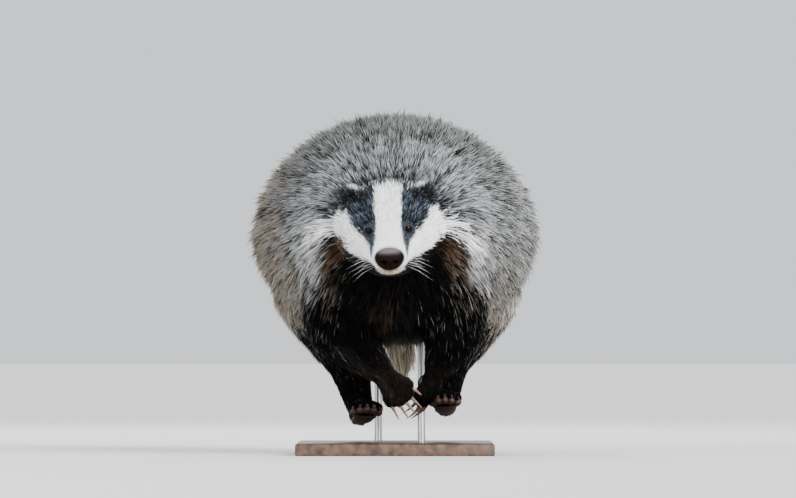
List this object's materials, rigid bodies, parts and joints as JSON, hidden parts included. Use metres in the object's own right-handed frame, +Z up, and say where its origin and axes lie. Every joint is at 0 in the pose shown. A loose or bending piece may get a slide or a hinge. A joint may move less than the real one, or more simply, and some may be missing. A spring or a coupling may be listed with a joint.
{
  "type": "european badger",
  "caption": "Life-size still model of a European badger in mid-bound, coat in overlapping locks, held by rods on a flat display stand.",
  "frame": {"origin": "middle of the underside of the stand's base, on the floor", "axes": "+Z up, the animal faces -Y, and its left side is +X"},
  "size_m": [0.3393, 0.7039, 0.396],
  "materials": {
    "grizzled_coat": "long coarse coat, pale tips over a dark band, matt",
    "black_coat": "black coat, slightly glossy",
    "face_coat": "short dense coat, white with two black stripes",
    "pale_coat": "long pale tail coat, matt",
    "nose_skin": "bare pebbled skin, satin",
    "eye": "dark glossy eye",
    "claw_horn": "horn, darker at the root, satin",
    "stand_wood": "dark stained wood, satin",
    "stand_steel": "brushed steel"
  },
  "bodies": {
    "root": {"stand_base": "stand_wood", "stand_rod_front": "stand_steel", "stand_rod_rear": "stand_steel", "nose": "nose_skin", "eye_left": "eye", "eye_right": "eye", "ear_left": "black_coat", "ear_right": "black_coat", "head": "face_coat", "jaw": "face_coat", "foreleg_right": "black_coat", "foreleg_left": "black_coat", "hindleg_right": "black_coat", "hindleg_left": "black_coat", "forepaw_right": "black_coat", "forepaw_left": "black_coat", "hindpaw_right": "black_coat", "hindpaw_left": "black_coat", "foreclaw_right_1": "claw_horn", "foreclaw_right_2": "claw_horn", "foreclaw_right_3": "claw_horn", "foreclaw_right_4": "claw_horn", "foreclaw_right_5": "claw_horn", "foreclaw_left_1": "claw_horn", "foreclaw_left_2": "claw_horn", "foreclaw_left_3": "claw_horn", "foreclaw_left_4": "claw_horn", "foreclaw_left_5": "claw_horn", "hindclaw_right_1": "claw_horn", "hindclaw_right_2": "claw_horn", "hindclaw_right_3": "claw_horn", "hindclaw_right_4": "claw_horn", "hindclaw_right_5": "claw_horn", "hindclaw_left_1": "claw_horn", "hindclaw_left_2": "claw_horn", "hindclaw_left_3": "claw_horn", "hindclaw_left_4": "claw_horn", "hindclaw_left_5": "claw_horn", "tail": "pale_coat", "neck": "grizzled_coat", "torso": "grizzled_coat"}
  },
  "joints": []
}
